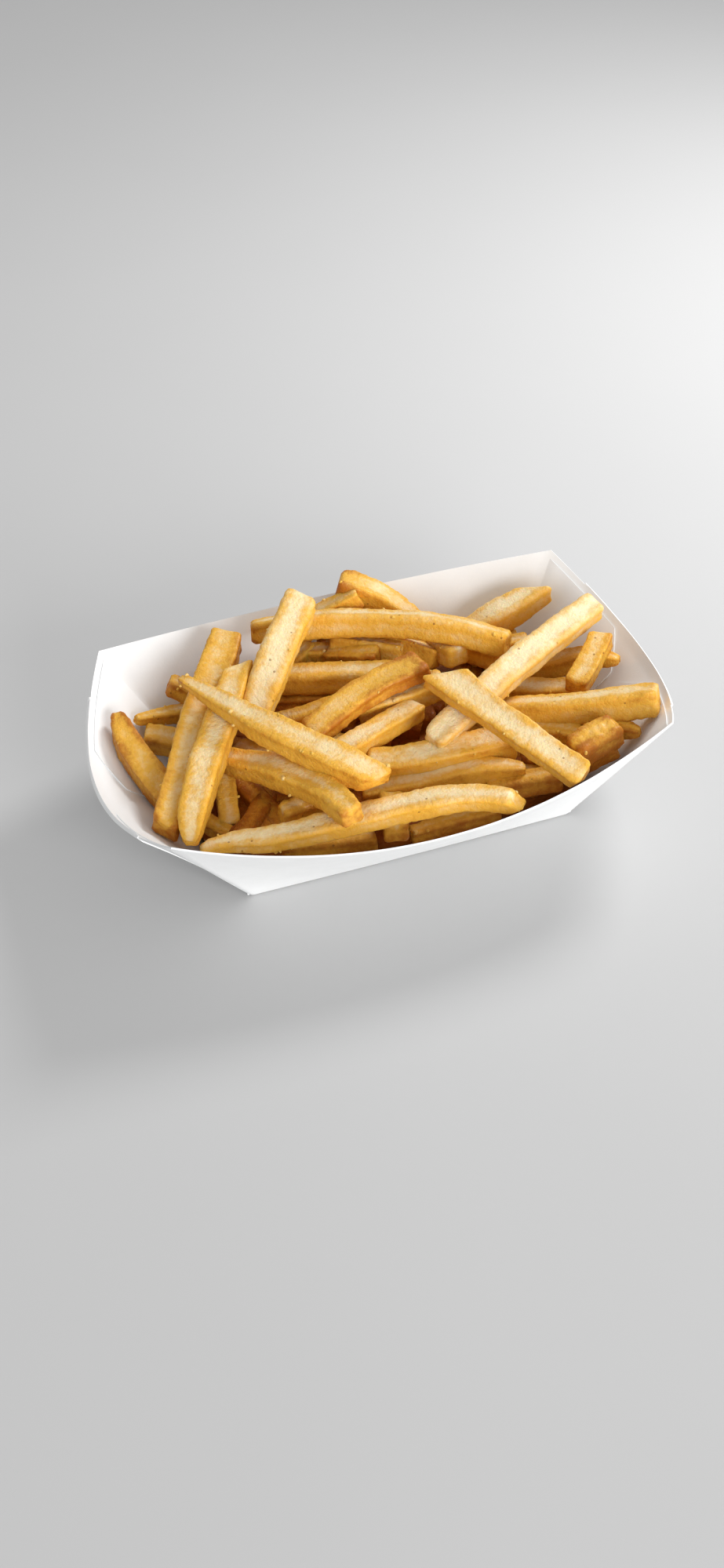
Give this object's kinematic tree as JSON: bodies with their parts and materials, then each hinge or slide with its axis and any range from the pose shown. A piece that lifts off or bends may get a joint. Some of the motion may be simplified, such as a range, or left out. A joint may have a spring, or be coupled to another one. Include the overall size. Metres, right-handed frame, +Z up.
{
  "type": "paper food tray of french fries",
  "caption": "Open white paperboard boat tray with flared, folded sides, heaped with thick-cut golden french fries.",
  "frame": {"origin": "middle of the tray's base, on the surface it stands on", "axes": "+X along the tray's length, +Y across it to the far side of the picture's view, +Z up"},
  "size_m": [0.181, 0.1214, 0.0524],
  "materials": {
    "white_paperboard": "smooth uncoated white board",
    "fried_potato": "crisp golden crust with a light oily sheen"
  },
  "bodies": {
    "root": {"tray": "white_paperboard", "fries": "fried_potato"}
  },
  "joints": []
}
